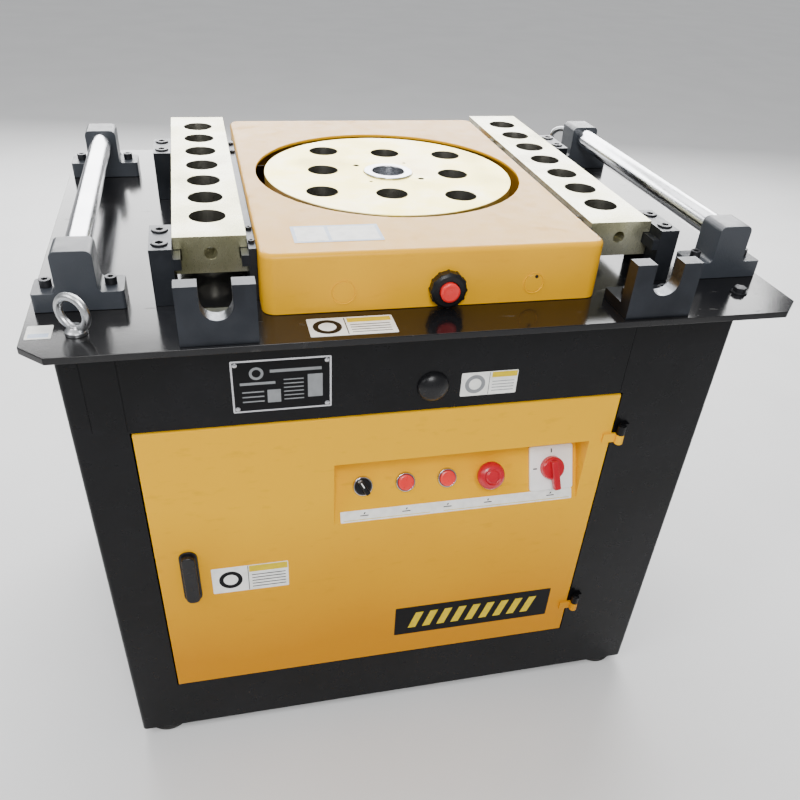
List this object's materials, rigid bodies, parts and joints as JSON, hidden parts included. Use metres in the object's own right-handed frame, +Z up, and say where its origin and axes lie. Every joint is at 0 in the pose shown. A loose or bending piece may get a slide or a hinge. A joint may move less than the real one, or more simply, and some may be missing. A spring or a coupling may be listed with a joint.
{
  "type": "rebar bender",
  "caption": "Table-top machine that bends reinforcing bar round pins in a geared turning disc, with hole bars, rollers, a cabinet and a hinged control door.",
  "frame": {"origin": "on the floor under the middle of the table's outline", "axes": "+X to the machine's right as its operator sees it, +Y to its back, +Z up"},
  "size_m": [0.93, 0.734, 0.807],
  "materials": {
    "black_paint": "glossy black enamel",
    "yellow_paint": "semi-gloss machine yellow enamel",
    "cast_black": "blue-black oxide and paint on machined blocks",
    "zinc_yellow": "yellow-passivated zinc plating, brushed",
    "bright_steel": "ground and turned steel",
    "cast_iron": "painted casting",
    "bronze": "machined bronze",
    "motor_grey": "satin grey paint",
    "rubber": "black rubber",
    "black_plastic": "moulded black plastic",
    "red_plastic": "moulded red plastic",
    "white_plastic": "moulded white plastic",
    "chrome": "plated steel"
  },
  "bodies": {
    "root": {"cabinet_shell": "black_paint", "base_pan": "black_paint", "foot_front_left": "rubber", "foot_front_right": "rubber", "foot_rear_left": "rubber", "foot_rear_right": "rubber", "table_plate": "black_paint", "gearbox_cover": "yellow_paint", "cover_button_collar": "black_plastic", "header_cap": "black_plastic", "eye_bolt_front_left": "chrome", "eye_bolt_rear_right": "chrome", "gearbox_housing": "cast_iron", "upper_bearing": "bright_steel", "lower_bearing": "bright_steel", "drive_belt": "rubber", "motor_body": "motor_grey", "motor_mount": "black_paint", "electrical_box": "motor_grey", "left_inner_guide": "cast_black", "right_inner_guide": "cast_black", "left_front_clamp": "cast_black", "left_rear_clamp": "cast_black", "right_front_clamp": "cast_black", "right_rear_clamp": "cast_black", "left_cradle": "cast_black", "right_cradle": "cast_black", "left_front_bracket": "cast_black", "left_rear_bracket": "cast_black", "right_front_bracket": "cast_black", "right_rear_bracket": "cast_black", "hinge_upper": "yellow_paint", "hinge_lower": "yellow_paint"},
    "disc": {"working_disc": "zinc_yellow", "centre_bush": "bright_steel", "main_shaft": "bright_steel", "worm_wheel": "bronze"},
    "worm": {"worm_shaft": "bright_steel", "driven_pulley": "bright_steel"},
    "motor_rotor": {"motor_pulley": "bright_steel"},
    "left_roller": {"left_roller": "bright_steel"},
    "right_roller": {"right_roller": "bright_steel"},
    "left_bar": {"left_hole_bar": "zinc_yellow"},
    "right_bar": {"right_hole_bar": "zinc_yellow"},
    "door": {"door_panel": "yellow_paint", "control_panel": "yellow_paint", "latch_plate": "black_plastic", "selector_base": "chrome", "forward_button_base": "chrome", "reverse_button_base": "chrome", "estop_base": "yellow_paint", "isolator_plate": "white_plastic"},
    "latch": {"latch_handle": "black_plastic"},
    "selector": {"selector_knob": "black_plastic"},
    "forward_button": {"forward_button_cap": "red_plastic"},
    "reverse_button": {"reverse_button_cap": "red_plastic"},
    "estop": {"estop_mushroom": "red_plastic"},
    "isolator": {"isolator_knob": "red_plastic"},
    "cover_button": {"cover_button_cap": "red_plastic"}
  },
  "joints": [
    {"name": "disc_spin", "type": "hinge", "parent": "root", "child": "disc", "pos_m": [0, -0.01, 0.79], "axis": [0, 0, 1], "continuous": true},
    {"name": "worm_spin", "type": "hinge", "parent": "root", "child": "worm", "pos_m": [0, 0.1308, 0.62], "axis": [1, 0, 0], "continuous": true},
    {"name": "motor_spin", "type": "hinge", "parent": "root", "child": "motor_rotor", "pos_m": [-0.31, 0.1308, 0.235], "axis": [1, 0, 0], "continuous": true},
    {"name": "left_roller_spin", "type": "hinge", "parent": "root", "child": "left_roller", "pos_m": [-0.4075, 0, 0.787], "axis": [0, 1, 0], "continuous": true},
    {"name": "right_roller_spin", "type": "hinge", "parent": "root", "child": "right_roller", "pos_m": [0.4075, 0, 0.787], "axis": [0, 1, 0], "continuous": true},
    {"name": "left_bar_slide", "type": "slide", "parent": "root", "child": "left_bar", "axis": [0, 1, 0], "range_m": [-0.02, 0.02]},
    {"name": "right_bar_slide", "type": "slide", "parent": "root", "child": "right_bar", "axis": [0, 1, 0], "range_m": [-0.02, 0.02]},
    {"name": "door_swing", "type": "hinge", "parent": "root", "child": "door", "pos_m": [0.2795, -0.3205, 0.36], "axis": [0, 0, 1], "range_deg": [0, 110]},
    {"name": "latch_turn", "type": "hinge", "parent": "door", "child": "latch", "pos_m": [-0.329, -0.3143, 0.383], "axis": [0, -1, 0], "range_deg": [0, 90]},
    {"name": "selector_turn", "type": "hinge", "parent": "door", "child": "selector", "pos_m": [-0.083, -0.29202, 0.46413], "axis": [0, -0.9063, 0.4226], "range_deg": [-60, 0]},
    {"name": "isolator_turn", "type": "hinge", "parent": "door", "child": "isolator", "pos_m": [0.197, -0.29202, 0.46413], "axis": [0, -0.9063, 0.4226], "range_deg": [0, 90]},
    {"name": "forward_button_press", "type": "slide", "parent": "door", "child": "forward_button", "axis": [0, 0.9063, -0.4226], "range_m": [0, 0.004], "stiffness_N_per_m": 300, "springref_m": -0.002},
    {"name": "reverse_button_press", "type": "slide", "parent": "door", "child": "reverse_button", "axis": [0, 0.9063, -0.4226], "range_m": [0, 0.004], "stiffness_N_per_m": 300, "springref_m": -0.002},
    {"name": "estop_press", "type": "slide", "parent": "door", "child": "estop", "axis": [0, 0.9063, -0.4226], "range_m": [0, 0.004], "stiffness_N_per_m": 800, "springref_m": -0.002},
    {"name": "cover_button_press", "type": "slide", "parent": "root", "child": "cover_button", "axis": [0, 1, 0], "range_m": [0, 0.003], "stiffness_N_per_m": 300, "springref_m": -0.002}
  ],
  "couplings": [
    {"joint": "worm_spin", "follows": "disc_spin", "ratio": 40},
    {"joint": "motor_spin", "follows": "disc_spin", "ratio": 84}
  ]
}
